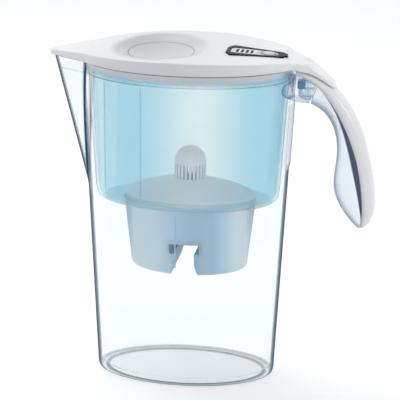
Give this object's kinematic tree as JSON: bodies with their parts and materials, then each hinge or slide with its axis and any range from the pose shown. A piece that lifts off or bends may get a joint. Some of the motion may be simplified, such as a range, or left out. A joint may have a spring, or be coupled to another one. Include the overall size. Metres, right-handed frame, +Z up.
{
  "type": "water filter pitcher",
  "caption": "Clear oval water filter pitcher with a drop-in hopper and cartridge, a lift-off lid with a tipping fill flap, a filter-change counter and a hook handle.",
  "frame": {"origin": "middle of the oval base, on the surface that the jug stands on", "axes": "+X from the spout towards the handle, +Y across the jug, +Z up"},
  "size_m": [0.2591, 0.113, 0.2672],
  "materials": {
    "clear_shell": "clear, polished moulding",
    "clear_handle": "clear, polished moulding",
    "cyan_tint": "clear, tinted light cyan",
    "white_shell": "white, satin gloss moulding",
    "white_cartridge": "white moulding",
    "slate_soft": "soft slate-blue grip inlay",
    "navy_clip": "translucent blue",
    "seal": "silicone",
    "granules": "activated carbon and resin beads",
    "mesh": "moulded screen",
    "pin_steel": "ground stainless",
    "bezel_black": "piano black",
    "window_clear": "clear lens",
    "display_grey": "liquid crystal panel",
    "button_grey": "light grey key",
    "board_green": "circuit board",
    "cell_steel": "nickel-plated",
    "case_grey": "moulded tub"
  },
  "bodies": {
    "jug": {"jug_body": "clear_shell", "handle_grip": "clear_handle", "handle_cover": "white_shell", "grip_liner": "slate_soft", "handle_latch": "navy_clip"},
    "hopper": {"hopper": "cyan_tint"},
    "cartridge": {"cartridge_cup": "white_cartridge", "cartridge_cap": "white_cartridge", "cartridge_seal": "seal", "filter_media": "granules", "inlet_screen": "mesh", "outlet_screens": "mesh"},
    "lid": {"lid": "white_shell", "flap_pin": "pin_steel", "counter_bezel": "bezel_black", "counter_window": "window_clear", "counter_display": "display_grey", "counter_board": "board_green", "coin_cell": "cell_steel", "counter_case": "case_grey"},
    "flap": {"fill_flap": "white_shell", "flap_weight": "pin_steel"},
    "button": {"counter_button": "button_grey"}
  },
  "joints": [
    {"name": "hopper_lift", "type": "slide", "parent": "jug", "child": "hopper", "axis": [0, 0, 1], "range_m": [0, 0.18]},
    {"name": "lid_lift", "type": "slide", "parent": "hopper", "child": "lid", "axis": [0, 0, 1], "range_m": [0, 0.06]},
    {"name": "cartridge_lift", "type": "slide", "parent": "hopper", "child": "cartridge", "axis": [0, 0, 1], "range_m": [0, 0.035]},
    {"name": "flap_open", "type": "hinge", "parent": "lid", "child": "flap", "pos_m": [0.008, 0, 0.25672], "axis": [0, -1, 0], "range_deg": [0, 35]},
    {"name": "button_press", "type": "slide", "parent": "lid", "child": "button", "axis": [-0.054, 0, -0.9985], "range_m": [0, 0.0008], "stiffness_N_per_m": 1500}
  ]
}
